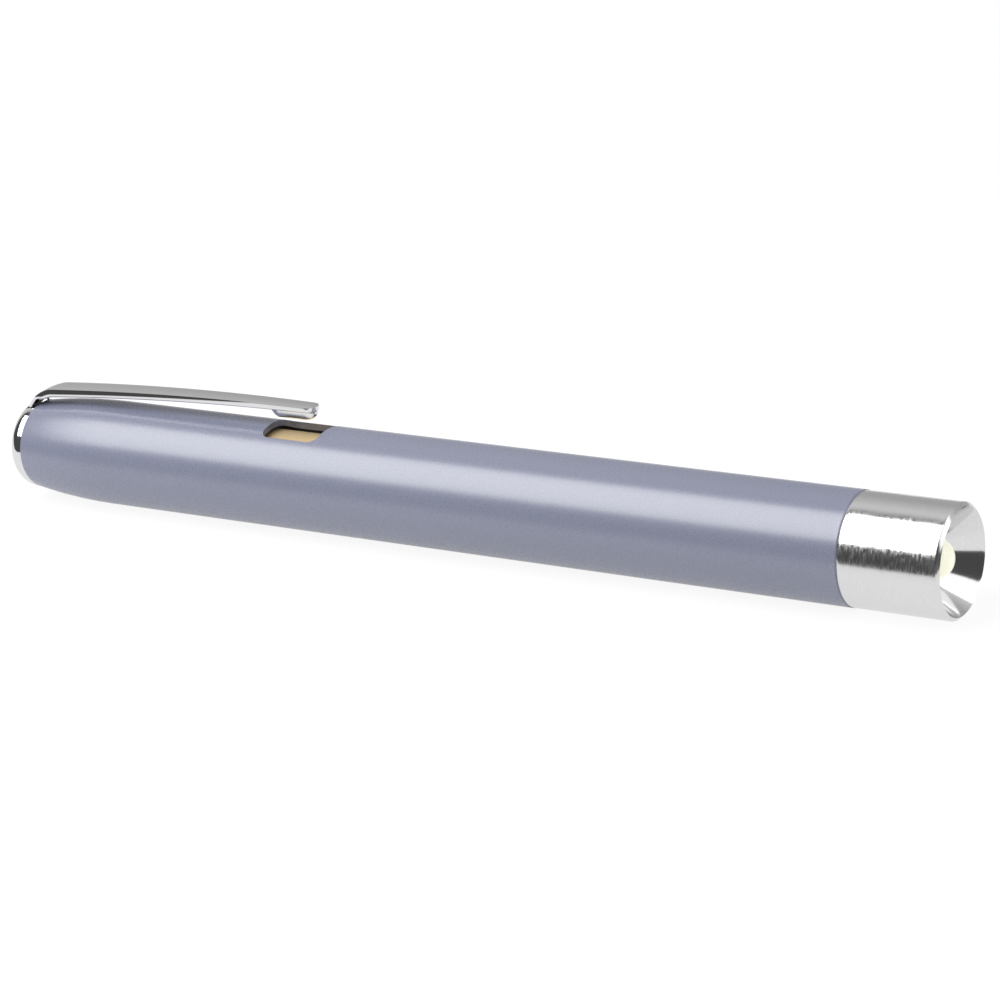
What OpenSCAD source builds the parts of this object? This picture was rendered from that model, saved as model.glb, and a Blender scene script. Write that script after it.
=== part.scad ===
// Penlight with a pocket clip that is also its switch.
// The barrel lies along X with the lamp at +X, the clip on top and the barrel's lowest line at z = 0.
// Pressing the clip pushes its foot through a window in the barrel, onto a brass tongue.

/* [Cells] */
// Diameter of a cell over its jacket
cell_d = 10.5; // [9.5:0.1:12]
// Length of a cell, with its button
cell_len = 44.5; // [30:0.5:60]
// Diameter of the cell's button
button_d = 3.8; // [3:0.1:4.5]
// Height of the cell's button above its washer
button_h = 1.0; // [0.6:0.1:1.5]
// Thickness of the washer round the button
washer_t = 0.3; // [0.2:0.05:0.6]
// Thickness of the printed jacket
jacket_t = 0.1; // [0.05:0.01:0.2]
// Bevel at the ends of the cell's can
can_bevel = 0.4; // [0.2:0.1:0.8]
// Room between a cell and the brass tongue
cell_gap = 0.1; // [0.05:0.05:0.4]

/* [Barrel] */
// Thickness of the barrel's wall
barrel_wall = 0.75; // [0.5:0.05:1.5]
// Thickness of the insulating liner
liner_t = 0.35; // [0.2:0.05:0.8]
// Room between the liner and the barrel
liner_gap = 0.05; // [0.02:0.01:0.2]
// Bevel at the barrel's front edge
edge_bevel = 0.15; // [0.05:0.05:0.4]
// Length of the curved tail
tail_len = 12.3; // [11:0.1:20]
// Radius of the curve that draws the tail in
tail_curve_r = 80; // [60:1:200]
// Thickness of the wall that closes the tail
tail_wall = 1.2; // [1:0.1:2]
// Depth of the spring's seat inside the tail
seat_depth = 11.4; // [9:0.1:16]

/* [Tail cap] */
// Length of the domed cap
cap_len = 2.4; // [2:0.1:5]
// Radius of the cap's rounded edge
cap_round = 1.8; // [1:0.1:4.5]
// How far the cap's edge lies inside the barrel's end
cap_step = 0; // [0:0.05:0.4]
// Diameter of the cap's stem
stem_d = 3.0; // [2:0.1:4]
// Length of the stem inside the tail
stem_len = 6.3; // [3:0.1:8]
// Room round the stem
stem_gap = 0.02; // [0.01:0.01:0.1]

/* [Tail insulator] */
// Thickness of the insulator's flange
plug_flange_t = 1.2; // [0.6:0.1:2]
// Diameter of the insulator's spigot
plug_d = 9.1; // [6:0.1:9.4]
// Room round the insulator
plug_gap = 0.05; // [0.02:0.01:0.2]
// Plastic left between the stem and the spring's seat
plug_floor = 2.0; // [1:0.1:4]

/* [Contact strip and spring] */
// Thickness of the brass tongue
strip_t = 0.2; // [0.1:0.05:0.5]
// Thickness of the brass disc that seats the spring
disc_t = 0.3; // [0.2:0.05:0.8]
// Room between the tongue and the liner
strip_gap = 0.05; // [0.02:0.01:0.2]
// How far the tongue reaches past the window at its front and sides
strip_lap = 0.8; // [0.3:0.1:3]
// Length of the spring in place
spring_len = 9.4; // [6:0.1:16]
// Diameter of the spring's wire
wire_d = 0.7; // [0.4:0.05:0.9]
// Mean diameter of the spring's coil
coil_d = 7.8; // [5:0.1:9]
// Number of turns
coil_turns = 6; // [3:1:6]

/* [Clip] */
// Length from the tail's end to the clip's tip
clip_len = 46.8; // [30:0.1:70]
// Width at the shoulder
clip_w = 3.6; // [3:0.1:4.5]
// Width at the tip
clip_tip_w = 2.4; // [2.2:0.1:3]
// Thickness of the sheet
clip_t = 0.5; // [0.4:0.05:0.6]
// Depth of the turned-down sides at the shoulder
flange_h = 1.2; // [0.9:0.05:1.5]
// Depth of the turned-down sides at the tip
flange_tip_h = 0.8; // [0.7:0.05:1.2]
// Distance from the barrel's end to the clip's tab
clip_setback = 1.1; // [0.6:0.1:1.4]
// Outer radius of the shoulder
shoulder_r = 5.2; // [4:0.1:6]
// How far the shoulder's centre lies below the top of the tail's edge
shoulder_drop = 2.6; // [2:0.1:3.2]
// Angle of the shoulder that has no turned-down sides
shoulder_plain = 46; // [30:1:60]
// Radius of the arm's bow
bow_r = 450; // [300:10:900]
// Slope of the arm where it leaves the shoulder
bow_slope = 4.4; // [3:0.1:6]
// Room between the shoulder and the arm
hinge_gap = 0.05; // [0.03:0.01:0.1]
// How far the clamped tab reaches below the axis
tab_drop = 2.6; // [2.2:0.1:4]
// Room round the clip in the cap's slot
notch_gap = 0.2; // [0.1:0.05:0.5]

/* [Foot and window] */
// Length of the foot
foot_len = 6.7; // [4:0.1:9]
// Distance from the foot's front end to the clip's tip
foot_setback = 0.2; // [0.1:0.1:1]
// Height of the foot's flat above the barrel at rest
foot_rise = 0.95; // [0.5:0.05:1.2]
// Length of the foot's slope at its rear end
foot_rear_run = 1.0; // [0.8:0.1:2]
// Length of the foot's slope at its front end
foot_front_run = 1.2; // [0.8:0.1:2]
// Room between the foot and the clip's sides
foot_gap = 0.05; // [0.02:0.01:0.1]
// Radius of the foot's round keel
keel_r = 1.0; // [0.9:0.05:1.5]
// Width of the flat along the keel
keel_flat_w = 0.8; // [0.4:0.1:1]
// Width of the window
window_w = 6.4; // [4:0.1:8]
// Corner radius of the window
window_corner_r = 1.2; // [0.5:0.1:2.8]
// Room behind the foot in the window
window_rear_gap = 0.1; // [0.1:0.1:1]
// Open length of the window in front of the foot
window_front_gap = 1.5; // [0.5:0.1:5]
// How much wider the liner's window is on each side
liner_window_gap = 0.3; // [0.1:0.1:0.6]

/* [Head] */
// Length of the head in front of the barrel
head_len = 12.27; // [11:0.1:20]
// How far the head's surface lies below the barrel's
head_step = 0.05; // [0:0.01:0.2]
// Bevel round the rim
rim_bevel = 0.42; // [0.2:0.01:1]
// Half angle of the conical reflector
cone_half_angle = 30; // [26:1:40]
// Length of the threaded neck
neck_len = 6.8; // [5:0.1:10]
// Room between the neck and the barrel
neck_gap = 0.07; // [0.03:0.01:0.1]
// Bevel at the neck's end
neck_bevel = 0.4; // [0.2:0.1:0.8]
// Diameter of the bore that holds the lamp's pieces
lamp_bore_d = 9.0; // [8:0.1:9.6]

/* [Lamp] */
// Diameter of the LED's body
led_d = 5.0; // [4.6:0.1:5.2]
// Diameter of the LED's flange
led_flange_d = 5.8; // [5.6:0.1:6.4]
// Thickness of the LED's flange
led_flange_t = 1.0; // [0.6:0.1:1.4]
// Length of the LED without its leads
led_len = 8.6; // [7.6:0.1:9.4]
// How far the LED's tip lies behind the rim
led_inset = 1.1; // [0.5:0.1:2]
// Room round the LED in the head
led_gap = 0.15; // [0.05:0.05:0.4]
// Width of a lead
lead_w = 0.5; // [0.4:0.05:0.6]
// Spacing of the leads
lead_pitch = 2.54; // [2.5:0.02:2.8]
// Length of the leads past the board
lead_tail = 0.4; // [0.2:0.1:1]
// Room round a lead in its hole
lead_gap = 0.1; // [0.05:0.05:0.2]
// Distance from the LED's base to the cup
cup_rise = 4.2; // [3:0.1:4.4]
// Diameter of the cup
cup_d = 1.8; // [1.6:0.1:1.9]
// Height of the cup
cup_h = 1.0; // [0.7:0.1:1.1]
// Depth of the cup's hollow
cup_depth = 0.5; // [0.3:0.05:0.6]
// Diameter of the hollow's mouth
cup_mouth_d = 1.4; // [1.2:0.1:1.5]
// Diameter of the hollow's floor
cup_floor_d = 0.9; // [0.6:0.1:1.1]
// Length of the plastic holder
holder_len = 4.0; // [2.5:0.1:6]
// Room round the lamp's pieces in their bore
lamp_gap = 0.05; // [0.02:0.01:0.2]
// Thickness of the board
board_t = 1.0; // [0.6:0.1:1.6]
// Thickness of the retaining ring
ring_t = 2.0; // [1:0.1:3]
// Inner diameter of the retaining ring
ring_bore_d = 6.8; // [6.4:0.1:7.2]
// Width of the ring's key slots
ring_slot_w = 1.0; // [0.6:0.1:1.4]
// Depth of the ring's key slots
ring_slot_h = 0.8; // [0.4:0.1:1.2]
// Length of the chip resistor
resistor_len = 2.0; // [1.6:0.1:2.2]
// Width of the chip resistor
resistor_w = 1.25; // [0.8:0.05:1.3]
// Height of the chip resistor
resistor_h = 0.55; // [0.3:0.05:0.8]
// Distance from the axis to the resistor's middle
resistor_y = 2.3; // [2.1:0.05:2.4]
// Diameter of the contact stud
stud_d = 1.6; // [1.2:0.1:1.8]
// Diameter of the stud's head
stud_head_d = 2.8; // [2:0.1:3.4]
// Length of the stud's head
stud_head_len = 1.6; // [0.8:0.1:2.5]
// Bevel of the stud's head
stud_bevel = 0.4; // [0.2:0.1:0.5]
// How far the stud reaches past the neck
stud_reach = 1.08; // [0.5:0.01:2]
// Room between the stud and the front cell
stud_gap = 0.05; // [0.02:0.01:0.2]

/* [Hidden] */
$fn = 96;
// Overshoot of a cut past the face that it opens
cut = 1;
// Sides of the long shallow curves
curve_fn = 1440;
// Rings of points in each turn of the spring
curl_rings = 8;
// Sides of the spring's wire
wire_sides = 6;

// Radii, from the cells outward
cell_r = cell_d / 2;
strip_in_r = cell_r + cell_gap;
strip_r = strip_in_r + strip_t;
liner_in_r = strip_r + strip_gap;
liner_r = liner_in_r + liner_t;
bore_r = liner_r + liner_gap;
barrel_r = bore_r + barrel_wall;
head_r = barrel_r - head_step;
rim_r = head_r - rim_bevel;
neck_r = bore_r - neck_gap;
tail_r = barrel_r - tail_curve_r + sqrt(pow(tail_curve_r, 2) - pow(tail_len, 2));
cap_r = tail_r - cap_step;
plug_r = plug_d / 2;
stem_r = stem_d / 2;
stem_hole_r = stem_r + stem_gap;
lamp_bore_r = lamp_bore_d / 2;
lamp_r = lamp_bore_r - lamp_gap;
led_hole_r = led_d / 2 + led_gap;
lead_hole_r = lead_w * sqrt(2) / 2 + lead_gap;

// Stations along X, from the tail to the rim
barrel_len = seat_depth + disc_t + spring_len + 2 * cell_len + stud_gap + stud_reach + neck_len;
total_len = cap_len + barrel_len + head_len;
x_tail = -total_len / 2;
x_barrel = x_tail + cap_len;
x_plug = x_barrel + tail_wall;
x_seat = x_barrel + seat_depth;
x_flange = x_seat - plug_flange_t;
x_spring = x_seat + disc_t;
x_rear_cell = x_spring + spring_len;
x_front_cell = x_rear_cell + cell_len;
x_stud = x_front_cell + cell_len + stud_gap;
x_neck = x_stud + stud_reach;
x_seam = x_neck + neck_len;
x_rim = x_seam + head_len;
x_led_flange = x_rim - led_inset - led_len + led_flange_t;
x_led = x_led_flange - led_flange_t;
x_dome = x_rim - led_inset - led_d / 2;
x_board = x_led_flange - holder_len;
x_ring = x_board - board_t;
axis_z = barrel_r;

// Shoulder, hinge and arm of the clip, in the plane y = 0
x_tab = x_barrel - clip_setback - clip_t;
x_shoulder = x_tab + shoulder_r;
z_shoulder = axis_z + tail_r - shoulder_drop;
tab_len = z_shoulder - axis_z + tab_drop;
hinge_r = shoulder_r - clip_t / 2;
x_hinge = x_shoulder - hinge_r * sin(bow_slope);
z_hinge = z_shoulder + hinge_r * cos(bow_slope);
x_bow = x_shoulder + (bow_r - shoulder_r) * sin(bow_slope);
z_bow = z_shoulder - (bow_r - shoulder_r) * cos(bow_slope);
knuckle_r = clip_t / 2;
hinge_turn = 2 * asin((knuckle_r + hinge_gap) / 2 / hinge_r);
x_tip = x_tail + clip_len;

// Foot and window
foot_w = clip_tip_w - 2 * clip_t - 2 * foot_gap;
x_foot_end = x_tip - foot_setback;
x_foot = x_foot_end - foot_len;
x_foot_step = x_tip - clip_tip_w / 2;
z_foot = axis_z + barrel_r + foot_rise;
foot_far = max(abs(x_foot - x_bow), abs(x_foot_step - x_bow));
z_foot_top = z_bow + sqrt(pow(bow_r - clip_t, 2) - pow(foot_far, 2));
z_flange = z_bow + sqrt(pow(bow_r - flange_tip_h, 2) - pow(x_tip - x_bow, 2)) - foot_gap;
x_window = x_foot - window_rear_gap;
x_window_end = x_foot_end + window_front_gap;
strip_w = window_w + 2 * strip_lap;

// Spring
coil_pitch = (spring_len - wire_d) / coil_turns;
coil_steps = coil_turns * curl_rings;

// Shared shapes

// Puts a shape that stands along Z on the barrel's axis, from station x towards the lamp
module on_axis(x) {
    translate([x, 0, axis_z])
        rotate([0, 90, 0])
            children();
}

// Round rod on the axis between two stations
module rod(x_start, x_end, r) {
    on_axis(x_start)
        cylinder(h = x_end - x_start, r = r);
}

// Round rod beside the axis, for the leads' holes
module side_rod(x_start, x_end, r, z_offset) {
    translate([0, 0, z_offset])
        rod(x_start, x_end, r);
}

// Cylinder that lies across the penlight, for the clip's curves
module cross_rod(x, z, r, w, sides = $fn) {
    translate([x, w / 2, z])
        rotate([90, 0, 0])
            cylinder(h = w, r = r, $fn = sides);
}

// Upright prism with round corners, centred on y = 0
module window_cutter(x_start, x_end, w, r) {
    h = barrel_r + cut;
    mid_x = (x_start + x_end) / 2;
    len = x_end - x_start;
    translate([mid_x, 0, axis_z + h / 2]) {
        cube([len - 2 * r, w, h], center = true);
        cube([len, w - 2 * r, h], center = true);
        for (sx = [-1, 1], sy = [-1, 1])
            translate([sx * (len / 2 - r), sy * (w / 2 - r), -h / 2])
                cylinder(h = h, r = r);
    }
}

// Barrel and tail

// Half section of the barrel: radius across, distance from the tail's end upward
module barrel_section() {
    difference() {
        union() {
            intersection() {
                square([barrel_r, tail_len]);
                translate([barrel_r - tail_curve_r, tail_len])
                    circle(r = tail_curve_r, $fn = curve_fn);
            }
            polygon([
                [0, tail_len],
                [barrel_r, tail_len],
                [barrel_r, barrel_len - edge_bevel],
                [barrel_r - edge_bevel, barrel_len],
                [0, barrel_len]
            ]);
        }
        translate([0, -cut])
            square([stem_hole_r, barrel_len]);
        translate([0, tail_wall])
            square([plug_r + plug_gap, barrel_len]);
        translate([0, x_flange - x_barrel])
            square([bore_r, barrel_len]);
    }
}

module body_tube() {
    color("#8a8ca8")
        difference() {
            on_axis(x_barrel)
                rotate_extrude()
                    barrel_section();
            window_cutter(x_window, x_window_end, window_w, window_corner_r);
        }
}

// Half section of the cap: a disc whose outer edge is rounded
module cap_section() {
    seam_drop = max(0, cap_round - cap_len);
    round_x = cap_r - sqrt(pow(cap_round, 2) - pow(seam_drop, 2));
    difference() {
        square([cap_r, cap_len]);
        difference() {
            translate([round_x, -cut])
                square([cap_r, cap_round + cut]);
            translate([round_x, cap_round])
                circle(r = cap_round);
        }
    }
}

// Slot across the cap for the clip's tab, open above so that the shoulder can curve over the barrel
module clip_slot() {
    slot_r = shoulder_r + notch_gap;
    across(0, clip_w + 2 * notch_gap) {
        intersection() {
            circle(r = slot_r);
            translate([-slot_r, 0])
                square([2 * slot_r, slot_r]);
        }
        translate([-shoulder_r, -tab_len - notch_gap])
            square([clip_t, tab_len + notch_gap]);
    }
}

module tail_cap() {
    color("#e6e6e8") {
        difference() {
            on_axis(x_tail)
                rotate_extrude()
                    cap_section();
            clip_slot();
        }
        rod(x_barrel - clip_setback / 2, x_barrel + stem_len, stem_r);
    }
}

module tail_insulator() {
    blind_end = x_seat - plug_floor;
    color("#f2f0e6")
        difference() {
            union() {
                rod(x_plug, x_seat, plug_r);
                rod(x_flange, x_seat, bore_r - plug_gap);
            }
            rod(x_plug - cut, min(blind_end, x_barrel + stem_len), stem_hole_r);
        }
}

module contact_strip() {
    color("#c5a468") {
        rod(x_seat, x_spring, strip_in_r);
        intersection() {
            difference() {
                rod(x_seat, x_window_end + strip_lap, strip_r);
                rod(x_spring, x_window_end + strip_lap + cut, strip_in_r);
            }
            translate([x_seat - cut, -strip_w / 2, axis_z])
                cube([total_len, strip_w, barrel_r]);
        }
    }
}

module barrel_liner() {
    grow = liner_window_gap;
    color("#2c2c30")
        difference() {
            rod(x_seat, x_neck - stud_gap, liner_r);
            rod(x_seat - cut, x_neck + cut, liner_in_r);
            window_cutter(x_window - grow, x_window_end + grow, window_w + 2 * grow, window_corner_r);
        }
}

// Spring

// Point on the wire's centre line after a number of steps
function coil_point(step) =
    let (turn = 360 * step / curl_rings)
    [
        x_spring + wire_d / 2 + coil_pitch * step / curl_rings,
        coil_d / 2 * cos(turn),
        axis_z + coil_d / 2 * sin(turn)
    ];

// One ring of points round the wire, in the plane that holds the barrel's axis
function coil_ring(step) =
    let (centre = coil_point(step), turn = 360 * step / curl_rings)
    [
        for (side = [0 : wire_sides - 1])
            let (a = 360 * (side + 0.5) / wire_sides, out = wire_d / 2 * cos(a))
            centre + [wire_d / 2 * sin(a), out * cos(turn), out * sin(turn)]
    ];

module tail_spring() {
    points = [for (step = [0 : coil_steps]) each coil_ring(step)];
    last = coil_steps * wire_sides;
    sides = [
        for (step = [0 : coil_steps - 1], side = [0 : wire_sides - 1])
            let (
                a = step * wire_sides + side,
                b = step * wire_sides + (side + 1) % wire_sides
            )
            each [[a, b, b + wire_sides], [a, b + wire_sides, a + wire_sides]]
    ];
    start_face = [for (side = [1 : wire_sides - 2]) [0, side + 1, side]];
    end_face = [for (side = [1 : wire_sides - 2]) [last, last + side, last + side + 1]];
    color("#b8b8b4")
        polyhedron(points, concat(sides, start_face, end_face));
}

// Least room between two turns, measured on points at least half a turn apart
least_gap = min([
    for (i = [0 : coil_steps], j = [0 : coil_steps])
        if (j - i >= curl_rings / 2) norm(coil_point(i) - coil_point(j)) - wire_d
]);
echo(least_gap_between_turns = least_gap);

// Clip

// Extrudes a side view, drawn round the shoulder's centre, across the penlight at a distance y
module across(y, w) {
    translate([x_shoulder, y + w / 2, z_shoulder])
        rotate([90, 0, 0])
            linear_extrude(height = w)
                children();
}

// Side view of everything beyond an angle, on the lamp's side
module beyond(angle) {
    far = 3 * shoulder_r;
    polygon([
        [0, 0],
        [0, -far],
        [far, -far],
        [far, far],
        [far * cos(angle), far * sin(angle)]
    ]);
}

// Side view of the sheet: the tab runs up into the shoulder
module root_profile(end_angle) {
    difference() {
        union() {
            circle(r = shoulder_r);
            translate([-shoulder_r, -tab_len])
                square([shoulder_r, tab_len]);
        }
        union() {
            circle(r = shoulder_r - clip_t);
            translate([clip_t - shoulder_r, -tab_len - shoulder_r])
                square([shoulder_r, tab_len + shoulder_r]);
        }
        beyond(end_angle);
    }
}

// Side view of a turned-down side, from the middle of the sheet inward
module root_side_profile(end_angle) {
    far = 3 * shoulder_r;
    plain_angle = 180 - shoulder_plain;
    difference() {
        circle(r = shoulder_r - clip_t / 2);
        circle(r = shoulder_r - flange_h);
        beyond(end_angle);
        polygon([
            [0, 0],
            [far * cos(plain_angle), far * sin(plain_angle)],
            [-far, -far],
            [0, -far]
        ]);
    }
}

module clip_root() {
    end_angle = 90 + bow_slope + hinge_turn;
    color("#e6e6e8") {
        difference() {
            across(0, clip_w)
                root_profile(end_angle);
            tab_corners();
        }
        for (side = [-1, 1])
            across(side * (clip_w - clip_t) / 2, clip_t)
                root_side_profile(end_angle);
    }
}

// What is cut off the tab's lower end to make it round
module tab_corners() {
    tab_r = clip_w / 2;
    z_round = axis_z - tab_drop + tab_r;
    difference() {
        translate([x_tab - cut, -clip_w, z_round - 2 * tab_r])
            cube([clip_t + 2 * cut, 2 * clip_w, 2 * tab_r]);
        translate([0, 0, z_round - axis_z])
            rod(x_tab - 2 * cut, x_tab + clip_t + 2 * cut, tab_r);
    }
}

// Upright prism of the arm's tapered plan, drawn in by an inset
module arm_plan(inset) {
    tip_r = clip_tip_w / 2 - inset;
    x_round = x_tip - clip_tip_w / 2;
    linear_extrude(height = 2 * axis_z + bow_r)
        union() {
            polygon([
                [x_hinge, -clip_w / 2 + inset],
                [x_round, -tip_r],
                [x_round, tip_r],
                [x_hinge, clip_w / 2 - inset]
            ]);
            translate([x_round, 0])
                circle(r = tip_r);
        }
}

// Solid below the arm's top face, by a depth
module under_bow(depth) {
    cross_rod(x_bow, z_bow, bow_r - depth, 2 * clip_w, curve_fn);
}

// Solid below the lower edge of the turned-down sides, which rises towards the tip
module under_sides() {
    rise = atan((flange_h - flange_tip_h) / (x_tip - x_hinge));
    translate([x_hinge, 0, z_hinge])
        rotate([0, -rise, 0])
            translate([-x_hinge, 0, -z_hinge])
                under_bow(flange_h);
}

module clip_arm() {
    color("#e6e6e8") {
        difference() {
            intersection() {
                arm_plan(0);
                under_bow(0);
            }
            under_sides();
            intersection() {
                arm_plan(clip_t);
                under_bow(clip_t);
            }
        }
        cross_rod(x_hinge, z_hinge, knuckle_r, clip_w);
    }
}

// Boat-shaped contact under the tip, with a round keel
module clip_foot() {
    color("#dcdcde")
        intersection() {
            translate([0, foot_w / 2, 0])
                rotate([90, 0, 0])
                    linear_extrude(height = foot_w)
                        polygon([
                            [x_foot, z_flange],
                            [x_foot + foot_rear_run, z_foot],
                            [x_foot_end - foot_front_run, z_foot],
                            [x_foot_end, z_flange],
                            [x_foot_step, z_flange],
                            [x_foot_step, z_foot_top],
                            [x_foot, z_foot_top]
                        ]);
            translate([x_foot - cut, 0, z_foot + sqrt(pow(keel_r, 2) - pow(keel_flat_w / 2, 2))])
                rotate([0, 90, 0])
                    cylinder(h = foot_len + 2 * cut, r = keel_r);
        }
}

// Cells

module cell_can(x) {
    can_r = cell_r - jacket_t;
    can_len = cell_len - button_h - washer_t;
    color("#c9cacc")
        on_axis(x)
            rotate_extrude()
                polygon([
                    [0, 0],
                    [can_r - can_bevel, 0],
                    [can_r, can_bevel],
                    [can_r, can_len],
                    [0, can_len]
                ]);
}

module cell_jacket(x, tint) {
    color(tint)
        difference() {
            rod(x + can_bevel, x + cell_len - button_h, cell_r);
            rod(x, x + cell_len, cell_r - jacket_t);
        }
}

module cell_washer(x) {
    x_end = x + cell_len - button_h;
    color("#3a3a3c")
        difference() {
            rod(x_end - washer_t, x_end, cell_r - jacket_t);
            rod(x_end - washer_t - cut, x_end + cut, button_d / 2);
        }
}

module cell_terminal(x) {
    height = button_h + washer_t;
    bevel = can_bevel / 2;
    color("#d4d4d6")
        on_axis(x + cell_len - height)
            rotate_extrude()
                polygon([
                    [0, 0],
                    [button_d / 2, 0],
                    [button_d / 2, height - bevel],
                    [button_d / 2 - bevel, height],
                    [0, height]
                ]);
}

module rear_cell_can() { cell_can(x_rear_cell); }
module rear_cell_jacket() { cell_jacket(x_rear_cell, "#3c6e5a"); }
module rear_cell_washer() { cell_washer(x_rear_cell); }
module rear_cell_terminal() { cell_terminal(x_rear_cell); }
module front_cell_can() { cell_can(x_front_cell); }
module front_cell_jacket() { cell_jacket(x_front_cell, "#3c6e5a"); }
module front_cell_washer() { cell_washer(x_front_cell); }
module front_cell_terminal() { cell_terminal(x_front_cell); }

// Head and lamp

// Half section of the head: radius across, distance from the neck's end upward
module head_section() {
    shell_len = neck_len + head_len;
    cone_len = (rim_r - led_hole_r) / tan(cone_half_angle);
    difference() {
        polygon([
            [0, 0],
            [neck_r - neck_bevel, 0],
            [neck_r, neck_bevel],
            [neck_r, neck_len],
            [head_r - edge_bevel, neck_len],
            [head_r, neck_len + edge_bevel],
            [head_r, shell_len - rim_bevel],
            [rim_r, shell_len],
            [0, shell_len]
        ]);
        polygon([
            [0, shell_len + cut],
            [rim_r, shell_len + cut],
            [rim_r, shell_len],
            [led_hole_r, shell_len - cone_len],
            [led_hole_r, 0],
            [0, 0]
        ]);
        translate([0, -cut])
            square([lamp_bore_r, x_led_flange - x_neck + cut]);
    }
}

module head_shell() {
    color("#d8d8da")
        on_axis(x_neck)
            rotate_extrude()
                head_section();
}

module led_lens() {
    color("#fbf8e4", 0.6)
        difference() {
            union() {
                rod(x_led, x_led_flange, led_flange_d / 2);
                rod(x_led, x_dome, led_d / 2);
                translate([x_dome, 0, axis_z])
                    sphere(r = led_d / 2);
            }
            cathode_blank();
            anode_shape();
        }
}

// Square bar along X beside the axis
module lead_bar(x_start, x_end, z_offset) {
    translate([x_start, -lead_w / 2, axis_z + z_offset - lead_w / 2])
        cube([x_end - x_start, lead_w, lead_w]);
}

module phosphor_shape() {
    on_axis(x_led + cup_rise + cup_h - cup_depth)
        cylinder(h = cup_depth, r1 = cup_floor_d / 2, r2 = cup_mouth_d / 2);
}

// Cathode with its cup still full
module cathode_blank() {
    anvil_drop = lead_pitch / 2 + lead_w / 2;
    x_cup = x_led + cup_rise;
    anvil_len = cup_rise / 3;
    lead_bar(x_ring - lead_tail, x_cup, -lead_pitch / 2);
    translate([x_cup - anvil_len, -lead_w / 2, axis_z - anvil_drop])
        cube([anvil_len, lead_w, anvil_drop + cup_d / 4]);
    rod(x_cup, x_cup + cup_h, cup_d / 2);
}

module anode_shape() {
    lead_bar(x_ring - lead_tail, x_led + cup_rise + cup_h / 2, lead_pitch / 2);
}

module led_cathode() {
    color("#c8c8c4")
        difference() {
            cathode_blank();
            phosphor_shape();
        }
}

module led_anode() { color("#c8c8c4") anode_shape(); }
module led_phosphor() { color("#e8d060") phosphor_shape(); }

module lead_holes(x_start, x_end) {
    for (side = [-1, 1])
        side_rod(x_start - cut, x_end + cut, lead_hole_r, side * lead_pitch / 2);
}

module led_holder() {
    color("#f0f0ec")
        difference() {
            rod(x_board, x_led_flange, lamp_r);
            rod(x_led, x_led_flange + cut, led_flange_d / 2 + lamp_gap);
            lead_holes(x_board, x_led);
        }
}

module lamp_board() {
    color("#2f6b3f")
        difference() {
            rod(x_ring, x_board, lamp_r);
            lead_holes(x_ring, x_board);
        }
}

module resistor() {
    color("#26262a")
        translate([x_ring - resistor_h, resistor_y - resistor_w / 2, axis_z - resistor_len / 2])
            cube([resistor_h, resistor_w, resistor_len]);
}

module centre_contact() {
    stud_len = x_ring - x_stud;
    color("#c5a468")
        on_axis(x_stud)
            rotate_extrude()
                polygon([
                    [0, 0],
                    [stud_head_d / 2 - stud_bevel, 0],
                    [stud_head_d / 2, stud_bevel],
                    [stud_head_d / 2, stud_head_len],
                    [stud_d / 2, stud_head_len],
                    [stud_d / 2, stud_len],
                    [0, stud_len]
                ]);
}

module retaining_ring() {
    x_back = x_ring - ring_t;
    color("#cfcfd1")
        difference() {
            rod(x_back, x_ring, lamp_r);
            rod(x_back - cut, x_ring + cut, ring_bore_d / 2);
            translate([x_back - cut, -ring_slot_w / 2, axis_z - lamp_bore_r])
                cube([ring_slot_h + cut, ring_slot_w, lamp_bore_d]);
        }
}

body_tube();
tail_cap();
clip_root();
tail_insulator();
contact_strip();
tail_spring();
barrel_liner();
clip_arm();
clip_foot();
rear_cell_can();
rear_cell_jacket();
rear_cell_washer();
rear_cell_terminal();
front_cell_can();
front_cell_jacket();
front_cell_washer();
front_cell_terminal();
head_shell();
led_lens();
led_cathode();
led_anode();
led_phosphor();
led_holder();
lamp_board();
resistor();
centre_contact();
retaining_ring();
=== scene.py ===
"""Penlight with a clip switch: surfaces, fine shapes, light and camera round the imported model.

Lengths of the object are in millimetres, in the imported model's frame: the lamp is at +X, the clip at +Z
and the barrel's lowest line at z = 0. The floor and the lamps are in metres.
"""
import math
from collections import namedtuple

import bmesh
import bpy
from mathutils import Matrix, Vector


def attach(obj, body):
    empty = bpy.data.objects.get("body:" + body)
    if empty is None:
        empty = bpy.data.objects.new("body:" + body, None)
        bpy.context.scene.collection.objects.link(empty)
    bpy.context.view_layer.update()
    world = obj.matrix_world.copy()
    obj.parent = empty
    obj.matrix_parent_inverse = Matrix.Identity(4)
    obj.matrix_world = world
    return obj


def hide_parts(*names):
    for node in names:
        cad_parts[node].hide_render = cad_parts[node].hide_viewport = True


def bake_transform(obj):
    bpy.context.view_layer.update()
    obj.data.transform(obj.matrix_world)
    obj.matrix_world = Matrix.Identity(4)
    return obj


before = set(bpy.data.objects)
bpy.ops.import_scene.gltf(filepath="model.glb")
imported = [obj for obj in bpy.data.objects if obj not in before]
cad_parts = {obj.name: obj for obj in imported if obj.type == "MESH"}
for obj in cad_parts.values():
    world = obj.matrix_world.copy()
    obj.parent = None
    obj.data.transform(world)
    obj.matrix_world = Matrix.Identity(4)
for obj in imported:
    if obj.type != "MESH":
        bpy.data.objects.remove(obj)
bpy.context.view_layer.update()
scene = bpy.context.scene
scene.view_settings.view_transform = "Standard"

MM = 0.001
AXIS_Z = 6.75
X_BARREL = -63.95
X_NECK = 47.28
X_SEAM = 54.08
X_RIM = 66.35


# Node helpers

# Middle part of a noise, where most of its values lie
NOISE_SPAN = (0.3, 0.7)

# Places of the colour sockets on a Mix node
COLOUR_A = 6
COLOUR_B = 7
COLOUR_OUT = 2


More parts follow.
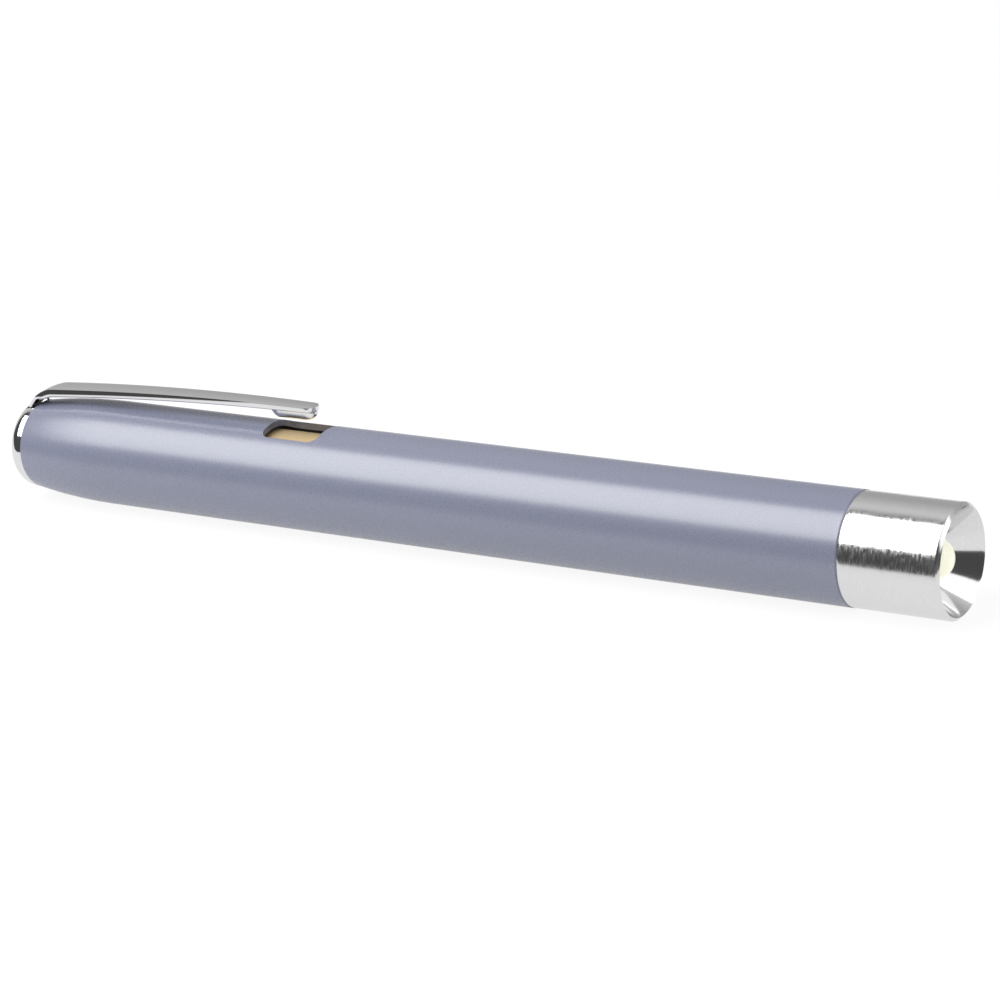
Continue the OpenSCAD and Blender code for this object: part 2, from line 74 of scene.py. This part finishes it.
def new_material(name):
    """A material with its node tree's parts: nodes, links and the main shader."""
    material = bpy.data.materials.new(name)
    material.use_nodes = True
    tree = material.node_tree
    return material, tree.nodes, tree.links, shader_of(material)


def shader_of(material):
    """The main shader of a material."""
    return material.node_tree.nodes["Principled BSDF"]


def ranged(nodes, links, value, source, target, smooth=False):
    """Maps the range source of a value onto the range target and holds it at the ends."""
    node = nodes.new("ShaderNodeMapRange")
    if smooth:
        node.interpolation_type = "SMOOTHSTEP"
    node.inputs["From Min"].default_value = source[0]
    node.inputs["From Max"].default_value = source[1]
    node.inputs["To Min"].default_value = target[0]
    node.inputs["To Max"].default_value = target[1]
    links.new(value, node.inputs["Value"])
    return node.outputs["Result"]


def chosen(nodes, links, factor, first, second):
    """A number that runs from first to second with factor; each is a plain number or a socket."""
    node = nodes.new("ShaderNodeMix")
    links.new(factor, node.inputs["Factor"])
    for name, value in (("A", first), ("B", second)):
        if isinstance(value, float):
            node.inputs[name].default_value = value
        else:
            links.new(value, node.inputs[name])
    return node.outputs["Result"]


def grain(nodes, links, stretch, detail):
    """Noise in the piece's own space; stretch gives features per metre along x, y and z."""
    coords = nodes.new("ShaderNodeTexCoord")
    mapping = nodes.new("ShaderNodeMapping")
    mapping.inputs["Scale"].default_value = stretch
    noise = nodes.new("ShaderNodeTexNoise")
    noise.inputs["Scale"].default_value = 1.0
    noise.inputs["Detail"].default_value = detail
    links.new(coords.outputs["Object"], mapping.inputs["Vector"])
    links.new(mapping.outputs["Vector"], noise.inputs["Vector"])
    return noise.outputs["Fac"]


def tint(nodes, links, value, first, second):
    """A colour that runs from first to second as value runs from 0 to 1."""
    node = nodes.new("ShaderNodeMix")
    node.data_type = "RGBA"
    node.inputs[COLOUR_A].default_value = (*first, 1.0)
    node.inputs[COLOUR_B].default_value = (*second, 1.0)
    links.new(value, node.inputs["Factor"])
    return node.outputs[COLOUR_OUT]


def bump(nodes, links, value, height_mm, strength):
    """A bump of that height."""
    node = nodes.new("ShaderNodeBump")
    node.inputs["Distance"].default_value = height_mm * MM
    node.inputs["Strength"].default_value = strength
    links.new(value, node.inputs["Height"])
    return node.outputs["Normal"]


def surface(name, colours, roughness, metallic, stretch, height_mm, strength, detail=3.0):
    """A material with grained colour, roughness and bump."""
    material, nodes, links, shader = new_material(name)
    value = grain(nodes, links, stretch, detail)
    links.new(tint(nodes, links, value, *colours), shader.inputs["Base Color"])
    links.new(ranged(nodes, links, value, NOISE_SPAN, roughness), shader.inputs["Roughness"])
    links.new(bump(nodes, links, value, height_mm, strength), shader.inputs["Normal"])
    shader.inputs["Metallic"].default_value = metallic
    return material


POLISHED_R = 6.3
POLISHED_ROUGHNESS = 0.12


def polish_inside(material):
    """Keeps the turning marks on the outer wall; what lies nearer the axis is polished."""
    nodes = material.node_tree.nodes
    links = material.node_tree.links
    shader = shader_of(material)
    coords = nodes.new("ShaderNodeTexCoord")
    centred = nodes.new("ShaderNodeMapping")
    centred.inputs["Location"].default_value = (0.0, 0.0, -AXIS_Z * MM)
    centred.inputs["Scale"].default_value = (0.0, 1.0, 1.0)
    links.new(coords.outputs["Object"], centred.inputs["Vector"])
    radius = nodes.new("ShaderNodeVectorMath")
    radius.operation = "LENGTH"
    links.new(centred.outputs["Vector"], radius.inputs[0])
    compare = nodes.new("ShaderNodeMath")
    compare.operation = "GREATER_THAN"
    compare.inputs[1].default_value = POLISHED_R * MM
    links.new(radius.outputs["Value"], compare.inputs[0])
    outside = compare.outputs["Value"]
    marked = shader.inputs["Roughness"].links[0].from_socket
    rough = chosen(nodes, links, outside, POLISHED_ROUGHNESS, marked)
    links.new(rough, shader.inputs["Roughness"])
    marks = shader.inputs["Normal"].links[0].from_node
    links.new(outside, marks.inputs["Strength"])


# Materials

anodised = surface(
    "anodised_barrel",
    colours=((0.198, 0.211, 0.290), (0.215, 0.228, 0.310)),
    roughness=(0.24, 0.32),
    metallic=0.0,
    stretch=(9000, 9000, 9000),
    height_mm=0.002,
    strength=0.15,
)
shader_of(anodised).inputs["IOR"].default_value = 1.8

chrome = surface(
    "chrome_plate",
    colours=((0.80, 0.80, 0.81), (0.84, 0.84, 0.85)),
    roughness=(0.05, 0.09),
    metallic=1.0,
    stretch=(2500, 9000, 9000),
    height_mm=0.0005,
    strength=0.1,
)

turned = surface(
    "turned_head",
    colours=((0.74, 0.74, 0.74), (0.86, 0.86, 0.86)),
    roughness=(0.10, 0.27),
    metallic=1.0,
    stretch=(6000, 1500, 1500),
    height_mm=0.006,
    strength=1.0,
    detail=2.0,
)
polish_inside(turned)

brass = surface(
    "rolled_brass",
    colours=((0.68, 0.51, 0.27), (0.74, 0.58, 0.33)),
    roughness=(0.38, 0.48),
    metallic=0.5,
    stretch=(1500, 12000, 12000),
    height_mm=0.001,
    strength=0.2,
)

# Painted shade: the barrel liner is coloured near black so that the gap between the window's far wall and
# the brass strip renders as deep shadow.
liner_painted_shade = surface(
    "liner_painted_shade_black",
    colours=((0.008, 0.008, 0.009), (0.014, 0.014, 0.016)),
    roughness=(0.5, 0.65),
    metallic=0.0,
    stretch=(3000, 6000, 6000),
    height_mm=0.002,
    strength=0.2,
)

spring_wire = surface(
    "spring_wire",
    colours=((0.58, 0.58, 0.56), (0.68, 0.68, 0.66)),
    roughness=(0.2, 0.32),
    metallic=1.0,
    stretch=(6000, 6000, 6000),
    height_mm=0.001,
    strength=0.2,
)

white_plastic = surface(
    "moulded_white",
    colours=((0.80, 0.80, 0.77), (0.84, 0.84, 0.81)),
    roughness=(0.42, 0.52),
    metallic=0.0,
    stretch=(5000, 5000, 5000),
    height_mm=0.002,
    strength=0.2,
)

tinned = surface(
    "tinned_metal",
    colours=((0.68, 0.68, 0.67), (0.76, 0.76, 0.75)),
    roughness=(0.2, 0.3),
    metallic=1.0,
    stretch=(7000, 7000, 7000),
    height_mm=0.001,
    strength=0.2,
)

cell_metal = surface(
    "cell_can",
    colours=((0.66, 0.66, 0.67), (0.74, 0.74, 0.75)),
    roughness=(0.22, 0.32),
    metallic=1.0,
    stretch=(7000, 2000, 2000),
    height_mm=0.001,
    strength=0.2,
)

cell_jacket = surface(
    "cell_film",
    colours=((0.10, 0.26, 0.20), (0.13, 0.30, 0.23)),
    roughness=(0.22, 0.3),
    metallic=0.0,
    stretch=(1500, 4000, 4000),
    height_mm=0.001,
    strength=0.15,
)

cell_washer = surface(
    "card_washer",
    colours=((0.03, 0.03, 0.03), (0.06, 0.06, 0.06)),
    roughness=(0.7, 0.85),
    metallic=0.0,
    stretch=(6000, 6000, 6000),
    height_mm=0.004,
    strength=0.3,
)

board = surface(
    "board_lacquer",
    colours=((0.03, 0.16, 0.07), (0.05, 0.22, 0.10)),
    roughness=(0.3, 0.42),
    metallic=0.0,
    stretch=(4000, 4000, 4000),
    height_mm=0.002,
    strength=0.2,
)

chip = surface(
    "chip_glaze",
    colours=((0.02, 0.02, 0.02), (0.04, 0.04, 0.045)),
    roughness=(0.25, 0.4),
    metallic=0.0,
    stretch=(9000, 9000, 9000),
    height_mm=0.001,
    strength=0.2,
)

phosphor = surface(
    "phosphor_gel",
    colours=((0.80, 0.66, 0.16), (0.88, 0.76, 0.28)),
    roughness=(0.4, 0.55),
    metallic=0.0,
    stretch=(9000, 9000, 9000),
    height_mm=0.003,
    strength=0.3,
)

resin = surface(
    "led_resin",
    colours=((0.94, 0.94, 0.80), (0.98, 0.98, 0.88)),
    roughness=(0.04, 0.09),
    metallic=0.0,
    stretch=(3000, 3000, 3000),
    height_mm=0.0005,
    strength=0.1,
)
resin_shader = shader_of(resin)
resin_shader.inputs["Transmission Weight"].default_value = 0.15
# Painted glow: the faint emission brightens the resin and stands for light scattered inside it.
resin_shader.inputs["Emission Color"].default_value = (1.0, 0.98, 0.80, 1.0)
resin_shader.inputs["Emission Strength"].default_value = 0.25
resin_shader.inputs["IOR"].default_value = 1.5

NODE_MATERIALS = {
    "body_tube": anodised,
    "tail_cap": chrome,
    "clip_root": chrome,
    "tail_insulator": white_plastic,
    "contact_strip": brass,
    "tail_spring": spring_wire,
    "barrel_liner": liner_painted_shade,
    "clip_arm": chrome,
    "clip_foot": chrome,
    "head_shell": turned,
    "led_lens": resin,
    "led_cathode": tinned,
    "led_anode": tinned,
    "led_phosphor": phosphor,
    "led_holder": white_plastic,
    "lamp_board": board,
    "resistor": chip,
    "centre_contact": brass,
    "retaining_ring": turned,
}
for place in ("rear", "front"):
    NODE_MATERIALS[f"{place}_cell_can"] = cell_metal
    NODE_MATERIALS[f"{place}_cell_jacket"] = cell_jacket
    NODE_MATERIALS[f"{place}_cell_washer"] = cell_washer
    NODE_MATERIALS[f"{place}_cell_terminal"] = tinned

for name, material in NODE_MATERIALS.items():
    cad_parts[name].data.materials.clear()
    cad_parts[name].data.materials.append(material)


# Shape helpers

MERGED = 0.002
SLIVER = 0.001


def new_piece(name, points, faces, material, smooth_deg):
    """A mesh object in metres from points in millimetres; edges sharper than smooth_deg stay sharp."""
    mesh = bpy.data.meshes.new(name)
    mesh.from_pydata([Vector(p) * MM for p in points], [], faces)
    work = bmesh.new()
    work.from_mesh(mesh)
    bmesh.ops.remove_doubles(work, verts=work.verts, dist=MERGED * MM)
    bmesh.ops.dissolve_degenerate(work, edges=work.edges, dist=SLIVER * MM)
    bmesh.ops.recalc_face_normals(work, faces=work.faces)
    work.to_mesh(mesh)
    work.free()
    mesh.shade_smooth()
    mesh.set_sharp_from_angle(angle=math.radians(smooth_deg))
    mesh.materials.append(material)
    piece = bpy.data.objects.new(name, mesh)
    scene.collection.objects.link(piece)
    return piece


def ease(value):
    """Smooth step from 0 to 1."""
    value = min(1.0, max(0.0, value))
    return value * value * (3 - 2 * value)


def joined_rings(rings, closed=False):
    """Points and faces of rings of equal length, joined in order; closed joins the last to the first."""
    count = len(rings[0])
    points = [p for ring in rings for p in ring]
    faces = []
    last = len(rings) if closed else len(rings) - 1
    for i in range(last):
        a = i * count
        b = (i + 1) % len(rings) * count
        for j in range(count):
            k = (j + 1) % count
            faces.append((a + j, a + k, b + k, b + j))
    return points, faces


def end_caps(rings):
    """The faces that close the first and the last of joined rings."""
    count = len(rings[0])
    last = (len(rings) - 1) * count
    return [tuple(range(count)), tuple(range(last, last + count))]


# Clip: one springy sheet from the tab in the tail to the tip, with its sides turned down

SHEET = 0.5
CLIP_HALF_W = 1.8
TIP_HALF_W = 1.2
SIDE_DEPTH = 1.2
TIP_DEPTH = 0.8
TAB_GAP = 1.1
TAB_REACH = 2.6
SHOULDER_R = 5.2
SHOULDER_PLAIN = math.radians(46)
SIDE_GROWTH = math.radians(18)
X_TAB = X_BARREL - TAB_GAP - SHEET
X_SHOULDER = X_TAB + SHOULDER_R
Z_SHOULDER = 9.949
TAB_END_Z = AXIS_Z - TAB_REACH
SLOPE = math.radians(4.4)
BOW_R = 450.0
X_BOW = X_SHOULDER + (BOW_R - SHOULDER_R) * math.sin(SLOPE)
Z_BOW = Z_SHOULDER - (BOW_R - SHOULDER_R) * math.cos(SLOPE)
X_TIP = -19.55
CROWN = 0.13
SIDE_LEAN = math.radians(22)
LEAN_END = 0.8
UNDERCUT = math.tan(math.radians(6))
PLAIN_EDGE = 0.08
SIDE_EDGE = 0.26
TIP_EDGE_LOSS = 0.1
SKIN = 0.003
TAB_STEPS = 5
SHOULDER_STEPS = 40
ARM_STEPS = 64
END_STEPS = 24

Station = namedtuple("Station", "place out half depth lean edge")


def clip_stations():
    """Stations along the clip's top line; lean is the tilt at the top of a turned-down side."""
    stations = []
    z_round = TAB_END_Z + CLIP_HALF_W
    for i in range(TAB_STEPS):
        z = z_round + (Z_SHOULDER - z_round) * i / TAB_STEPS
        stations.append(Station((X_TAB, z), (-1.0, 0.0), CLIP_HALF_W, SHEET, 0.0, PLAIN_EDGE))
    turn = math.pi / 2 - SLOPE
    for i in range(SHOULDER_STEPS + 1):
        angle = turn * i / SHOULDER_STEPS
        out = (-math.cos(angle), math.sin(angle))
        place = (X_SHOULDER + SHOULDER_R * out[0], Z_SHOULDER + SHOULDER_R * out[1])
        grown = ease((angle - SHOULDER_PLAIN) / SIDE_GROWTH)
        depth = SHEET + (SIDE_DEPTH - SHEET) * grown
        edge = PLAIN_EDGE + (SIDE_EDGE - PLAIN_EDGE) * grown
        stations.append(Station(place, out, CLIP_HALF_W, depth, SIDE_LEAN * grown, edge))
    x_start = stations[-1].place[0]
    x_round = X_TIP - TIP_HALF_W
    for i in range(1, ARM_STEPS + 1):
        share = i / ARM_STEPS
        x = x_start + (x_round - x_start) * share
        out = ((x - X_BOW) / BOW_R, math.sqrt(1 - ((x - X_BOW) / BOW_R) ** 2))
        place = (x, Z_BOW + BOW_R * out[1])
        half = CLIP_HALF_W + (TIP_HALF_W - CLIP_HALF_W) * share
        depth = SIDE_DEPTH + (TIP_DEPTH - SIDE_DEPTH) * share
        lean = SIDE_LEAN * max(0.0, 1 - share / LEAN_END)
        edge = SIDE_EDGE - TIP_EDGE_LOSS * share
        stations.append(Station(place, out, half, depth, lean, edge))
    return stations


def clip_ring(stations, level):
    """One closed line round the clip; level gives the inset and the height at a station."""
    ring = []

    def add(station, along, across, height):
        x, z = station.place
        out_x, out_z = station.out
        ring.append((x + out_z * along + out_x * height, across, z - out_x * along + out_z * height))

    for station in stations:
        inset, height = level(station)
        add(station, 0.0, station.half - inset, height)
    for end, sign in ((stations[-1], 1), (stations[0], -1)):
        inset, height = level(end)
        radius = end.half - inset
        for i in range(1, END_STEPS):
            angle = math.pi * i / END_STEPS
            add(end, sign * radius * math.sin(angle), sign * radius * math.cos(angle), height)
        if sign == 1:
            for station in reversed(stations):
                inset, height = level(station)
                add(station, 0.0, inset - station.half, height)
    return ring


def underside(station, share):
    """From the middle of the underside, at share 0, to the top of the side's inner wall, at 1."""
    return station.half + (SHEET - station.half) * share, -SHEET


def lower_edge(station, share):
    """Round lower edge, from below at share 0 to the outer side at 1."""
    angle = math.pi / 2 * (1 - share)
    inset = station.edge * (1 - math.cos(angle))
    return inset, -station.depth + station.edge * (1 - math.sin(angle))


def outer_side(station, share):
    """Outer side, drawn in a little at its foot and leaning in towards its top."""
    low = -station.depth + station.edge
    bend = math.tan(station.lean) + UNDERCUT
    inset = (-CROWN - low) * (bend * share ** 2 / 2 - UNDERCUT * share)
    return inset, low + (-CROWN - low) * share


def top_face(station, share):
    """Slightly crowned top, from the side at share 0 to the middle line at 1."""
    start = outer_side(station, 1.0)[0]
    return start + (station.half - start) * share, -SKIN - (CROWN - SKIN) * (1 - share) ** 2


def make_clip():
    """The clip's sheet, closed all round."""
    stations = clip_stations()
    levels = [lambda s, f=f: underside(s, f) for f in (0.0, 0.5, 0.9, 1.0)]
    levels.append(lambda s: (SHEET, -s.depth))
    levels += [lambda s, f=f: lower_edge(s, f) for f in (0.0, 0.25, 0.5, 0.75, 1.0)]
    levels += [lambda s, f=f: outer_side(s, f) for f in (0.15, 0.3, 0.45, 0.6, 0.75, 0.9, 1.0)]
    levels += [lambda s, f=f: top_face(s, f) for f in (0.12, 0.25, 0.4, 0.6, 0.8, 1.0)]
    points, faces = joined_rings([clip_ring(stations, level) for level in levels])
    clip = new_piece("clip_sheet", points, faces, chrome, smooth_deg=50)
    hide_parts("clip_root", "clip_arm")
    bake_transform(clip)


# Foot: a boat-shaped contact that rides under the tip

X_FOOT = -26.45
X_FOOT_END = -19.75
Z_FOOT = 14.45
Z_FOOT_SIDE = 15.5
FOOT_STEM = 0.2
FOOT_NECK = 0.55
FOOT_DRAFT = math.tan(math.radians(10))
FOOT_EDGE = 0.22
FOOT_HALF_W = 0.65
FOOT_END_SHARE = 0.5
FOOT_LEAST = 0.02
FOOT_REAR_RUN = 1.3
FOOT_FRONT_RUN = 1.5
FOOT_STEPS = 60
FOOT_EDGE_STEPS = 6


def make_foot():
    """Boat with sides that draw in towards a round bottom, hung from the sheet by a narrower stem."""
    rings = []
    for i in range(FOOT_STEPS + 1):
        x = X_FOOT + (X_FOOT_END - X_FOOT) * i / FOOT_STEPS
        rear = min(1.0, (x - X_FOOT) / FOOT_REAR_RUN)
        front = min(1.0, (X_FOOT_END - x) / FOOT_FRONT_RUN)
        full = rear * (2 - rear) * math.sqrt(1 - (1 - front) ** 2)
        tall = max(FOOT_LEAST, (Z_FOOT_SIDE - Z_FOOT) * full)
        half = FOOT_HALF_W * (FOOT_END_SHARE + (1 - FOOT_END_SHARE) * math.sqrt(full))
        edge = min(FOOT_EDGE, tall / 2)
        inner = half - FOOT_DRAFT * (tall - edge) - edge
        neck = half * FOOT_NECK
        side = [(neck, Z_FOOT_SIDE + FOOT_STEM), (neck, Z_FOOT_SIDE), (half, Z_FOOT_SIDE)]
        for j in range(FOOT_EDGE_STEPS + 1):
            angle = math.pi / 2 * j / FOOT_EDGE_STEPS
            place = Z_FOOT_SIDE - tall + edge * (1 - math.sin(angle))
            side.append((inner + edge * math.cos(angle), place))
        ring = [(x, y, z) for y, z in side]
        ring += [(x, -y, z) for y, z in reversed(side)]
        rings.append(ring)
    points, faces = joined_rings(rings)
    foot = new_piece("foot_boat", points, faces + end_caps(rings), chrome, smooth_deg=40)
    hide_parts("clip_foot")
    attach(foot, "clip")


# Head: turned shell with a threaded neck and a conical reflector

NECK_R = 5.93
NECK_FACE_R = 5.4
HEAD_R = 6.70
LAMP_BORE_R = 4.5
LED_HOLE_R = 2.65
X_LED_FLANGE = 57.65
X_CONE = 60.063
HEAD_STEPS = 144

# Rounded edge at the seam; a middle point is given by its steps in along the axis and in from the wall
SEAM_ROUND = 0.15
SEAM_MID = (0.04, 0.05)

# Bevel that leads to the rim, and the rim's own edge
BEVEL = 0.45
BEVEL_MID = (0.39, 0.025)
RIM_R = 6.28
RIM_ROUND = 0.05
RIM_OUT = 0.06
RIM_IN = 0.04

# Rows beside an edge, which keep the smooth shading flat up to it
SEAM_ROW = 0.4
BEVEL_ROW = 0.7
EDGE_ROW = 0.1

THREAD_DEPTH = 0.4
THREAD_PITCH = 1.0
THREAD_START = 0.4
THREAD_RUN_IN = 0.7
THREAD_END = 0.9
THREAD_RUN_OUT = 0.5
TOOTH_GAIN = 1.6
TOOTH_OFFSET = 0.3
THREAD_ROWS = 72


def thread_radius(x, turn):
    """Radius of the neck's thread; turn runs from 0 to 1 round the neck."""
    phase = ((x - X_NECK) / THREAD_PITCH - turn) % 1.0
    tooth = ease(abs(2 * phase - 1) * TOOTH_GAIN - TOOTH_OFFSET)
    run_in = ease((x - X_NECK - THREAD_START) / THREAD_RUN_IN)
    run_out = ease((X_SEAM - THREAD_END - x) / THREAD_RUN_OUT)
    return NECK_R - THREAD_DEPTH * tooth * run_in * run_out


def make_head():
    """Lathed shell; the neck's rows follow the thread."""
    neck_face = [(X_NECK, LAMP_BORE_R), (X_NECK, LAMP_BORE_R + EDGE_ROW), (X_NECK, NECK_FACE_R)]
    outer = [
        (X_SEAM, HEAD_R - SEAM_ROUND),
        (X_SEAM + SEAM_MID[0], HEAD_R - SEAM_MID[1]),
        (X_SEAM + SEAM_ROUND, HEAD_R),
        (X_SEAM + SEAM_ROW, HEAD_R),
        (X_RIM - BEVEL_ROW, HEAD_R),
        (X_RIM - BEVEL, HEAD_R),
        (X_RIM - BEVEL_MID[0], HEAD_R - BEVEL_MID[1]),
        (X_RIM - RIM_ROUND, RIM_R + RIM_OUT),
        (X_RIM, RIM_R),
        (X_RIM - RIM_ROUND, RIM_R - RIM_IN),
    ]
    cone_len = X_RIM - X_CONE
    for share in (0.04, 0.25, 0.5, 0.75, 0.97, 1.0):
        outer.append((X_RIM - cone_len * share, RIM_R + (LED_HOLE_R - RIM_R) * share))
    inner = [
        (X_CONE - EDGE_ROW, LED_HOLE_R),
        (X_LED_FLANGE, LED_HOLE_R),
        (X_LED_FLANGE, LED_HOLE_R + EDGE_ROW),
        (X_LED_FLANGE, LAMP_BORE_R),
        (X_LED_FLANGE - EDGE_ROW, LAMP_BORE_R),
        (X_NECK + EDGE_ROW, LAMP_BORE_R),
    ]
    rings = []

    def add(x, radius_at):
        ring = []
        for i in range(HEAD_STEPS):
            angle = 2 * math.pi * i / HEAD_STEPS
            radius = radius_at(i / HEAD_STEPS)
            ring.append((x, radius * math.cos(angle), AXIS_Z + radius * math.sin(angle)))
        rings.append(ring)

    for x, r in neck_face:
        add(x, lambda turn, r=r: r)
    x_thread = X_NECK + THREAD_START
    for i in range(THREAD_ROWS + 1):
        x = x_thread + (X_SEAM - x_thread) * i / THREAD_ROWS
        add(x, lambda turn, x=x: thread_radius(x, turn))
    for x, r in outer + inner:
        add(x, lambda turn, r=r: r)
    points, faces = joined_rings(rings, closed=True)
    head = new_piece("head_turned", points, faces, turned, smooth_deg=28)
    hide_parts("head_shell")
    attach(head, "head")


# Spring between the brass seat and the rear cell

X_SPRING = -52.25
SPRING_LEN = 9.4
COIL_R = 3.9
WIRE_R = 0.35
COIL_TURNS = 6
TURN_STEPS = 32
WIRE_SIDES = 12


def make_spring():
    """Round wire wound on the barrel's axis at an even pitch."""
    steps = COIL_TURNS * TURN_STEPS
    rings = []
    for i in range(steps + 1):
        share = i / steps
        turn = 2 * math.pi * COIL_TURNS * share
        middle = X_SPRING + WIRE_R + (SPRING_LEN - 2 * WIRE_R) * share
        ring = []
        for j in range(WIRE_SIDES):
            side = 2 * math.pi * j / WIRE_SIDES
            x = middle + WIRE_R * math.sin(side)
            radius = COIL_R + WIRE_R * math.cos(side)
            ring.append((x, radius * math.cos(turn), AXIS_Z + radius * math.sin(turn)))
        rings.append(ring)
    points, faces = joined_rings(rings)
    spring = new_piece("spring_coil", points, faces + end_caps(rings), spring_wire, smooth_deg=50)
    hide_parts("tail_spring")
    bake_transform(spring)


make_clip()
make_foot()
make_head()
make_spring()


# Floor, light and camera

FLOOR_HALF = 3.0
FLOOR_COLOUR = (0.9, 0.9, 0.9)
FLOOR_SHOWN = 0.88
FLOOR_GLOW = 1.03
FLOOR_MIRRORED = 0.87
DARK_EDGE = -0.044
BRIGHT_EDGE = -0.038
DARK = 0.07
WHITE = 1.0

# Strength of the studio from behind the camera, at 0, to behind the object, at 1
STUDIO_LEVELS = [(0.50, DARK), (0.55, DARK), (0.635, 0.64), (0.70, 0.66), (0.90, 0.41), (1.0, 0.42)]

SENSOR = 36.0
FOCAL = 111.43
CAMERA_NEAR = 0.01
CAMERA_PLACE = (197.97, -294.31, 133.09)
CAMERA_FORWARD = (-0.5138, 0.7885, -0.3379)
CAMERA_UP = (-0.1106, 0.3297, 0.9376)


def seen_ray(nodes, links):
    """1 for a camera, glossy or transmission ray."""
    path = nodes.new("ShaderNodeLightPath")
    first = nodes.new("ShaderNodeMath")
    first.operation = "MAXIMUM"
    links.new(path.outputs["Is Camera Ray"], first.inputs[0])
    links.new(path.outputs["Is Glossy Ray"], first.inputs[1])
    second = nodes.new("ShaderNodeMath")
    second.operation = "MAXIMUM"
    links.new(first.outputs["Value"], second.inputs[0])
    links.new(path.outputs["Is Transmission Ray"], second.inputs[1])
    return second.outputs["Value"]


def floor_material():
    """White with a shadow to the camera; in reflections pale, and dark on the camera's side."""
    material, nodes, links, shader = new_material("pale_floor")
    nodes.remove(shader)
    diffuse = nodes.new("ShaderNodeBsdfDiffuse")
    diffuse.inputs["Color"].default_value = (*FLOOR_COLOUR, 1.0)
    place = nodes.new("ShaderNodeNewGeometry")
    split = nodes.new("ShaderNodeSeparateXYZ")
    links.new(place.outputs["Position"], split.inputs["Vector"])
    across = split.outputs["Y"]
    camera_ray = nodes.new("ShaderNodeLightPath").outputs["Is Camera Ray"]
    border = (DARK_EDGE, BRIGHT_EDGE)
    mirrored = ranged(nodes, links, across, border, (DARK, FLOOR_MIRRORED), smooth=True)
    glow = nodes.new("ShaderNodeEmission")
    links.new(chosen(nodes, links, camera_ray, mirrored, FLOOR_GLOW), glow.inputs["Strength"])
    glow_share = ranged(nodes, links, across, border, (1.0, FLOOR_SHOWN))
    shown = nodes.new("ShaderNodeMixShader")
    links.new(chosen(nodes, links, camera_ray, glow_share, FLOOR_SHOWN), shown.inputs["Fac"])
    links.new(diffuse.outputs["BSDF"], shown.inputs[1])
    links.new(glow.outputs["Emission"], shown.inputs[2])
    choice = nodes.new("ShaderNodeMixShader")
    links.new(seen_ray(nodes, links), choice.inputs["Fac"])
    links.new(diffuse.outputs["BSDF"], choice.inputs[1])
    links.new(shown.outputs["Shader"], choice.inputs[2])
    links.new(choice.outputs["Shader"], nodes["Material Output"].inputs["Surface"])
    return material


def make_floor():
    """The floor that the object lies on."""
    mesh = bpy.data.meshes.new("floor")
    corners = [(-1, -1), (1, -1), (1, 1), (-1, 1)]
    points = [(FLOOR_HALF * x, FLOOR_HALF * y, 0.0) for x, y in corners]
    mesh.from_pydata(points, [], [(0, 1, 2, 3)])
    mesh.materials.append(floor_material())
    floor = bpy.data.objects.new("floor", mesh)
    scene.collection.objects.link(floor)


def make_world():
    """A studio that is white to the camera, pale grey behind the object and dark behind the camera."""
    world = bpy.data.worlds.new("studio")
    world.use_nodes = True
    scene.world = world
    nodes = world.node_tree.nodes
    links = world.node_tree.links
    coords = nodes.new("ShaderNodeTexCoord")
    split = nodes.new("ShaderNodeSeparateXYZ")
    links.new(coords.outputs["Generated"], split.inputs["Vector"])
    depth = ranged(nodes, links, split.outputs["Y"], (-1.0, 1.0), (0.0, 1.0))
    ramp = nodes.new("ShaderNodeValToRGB")
    stops = ramp.color_ramp.elements
    while len(stops) < len(STUDIO_LEVELS):
        stops.new(1.0)
    for stop, (position, value) in zip(stops, STUDIO_LEVELS):
        stop.position = position
        stop.color = (value, value, value, 1.0)
    links.new(depth, ramp.inputs["Fac"])
    camera_ray = nodes.new("ShaderNodeLightPath").outputs["Is Camera Ray"]
    strength = chosen(nodes, links, camera_ray, ramp.outputs["Color"], WHITE)
    background = nodes["Background"]
    background.inputs["Color"].default_value = (1.0, 1.0, 1.0, 1.0)
    links.new(strength, background.inputs["Strength"])


def make_softbox(name, elevation, azimuth, distance, x, length, width, watts):
    """A rectangular light turned to the axis; azimuth 0 is the camera's side, 90 the lamp's end."""
    light = bpy.data.lights.new(name, "AREA")
    light.shape = "RECTANGLE"
    light.size = length
    light.size_y = width
    light.energy = watts
    lamp = bpy.data.objects.new(name, light)
    rise = math.radians(elevation)
    turn = math.radians(azimuth)
    reach = distance * math.cos(rise)
    height = AXIS_Z * MM + distance * math.sin(rise)
    lamp.location = (x + reach * math.sin(turn), -reach * math.cos(turn), height)
    lamp.rotation_euler = (math.radians(90) - rise, 0.0, turn)
    scene.collection.objects.link(lamp)


def make_camera():
    """The camera that was fitted to the photograph's edges."""
    camera = bpy.data.cameras.new("camera")
    camera.sensor_width = SENSOR
    camera.lens = FOCAL
    camera.clip_start = CAMERA_NEAR
    rig = bpy.data.objects.new("camera", camera)
    forward = Vector(CAMERA_FORWARD).normalized()
    right = forward.cross(Vector(CAMERA_UP)).normalized()
    up = right.cross(forward)
    turn = Matrix((right, up, -forward)).transposed()
    rig.matrix_world = Matrix.Translation(Vector(CAMERA_PLACE) * MM) @ turn.to_4x4()
    scene.collection.objects.link(rig)
    scene.camera = rig


make_floor()
make_world()
make_softbox(
    "long_softbox",
    elevation=59.7,
    azimuth=0.0,
    distance=0.65,
    x=-0.4,
    length=0.75,
    width=0.72,
    watts=8.0,
)
make_softbox(
    "end_softbox",
    elevation=50.0,
    azimuth=90.0,
    distance=0.5,
    x=0.06,
    length=0.42,
    width=0.6,
    watts=0.95,
)
make_camera()
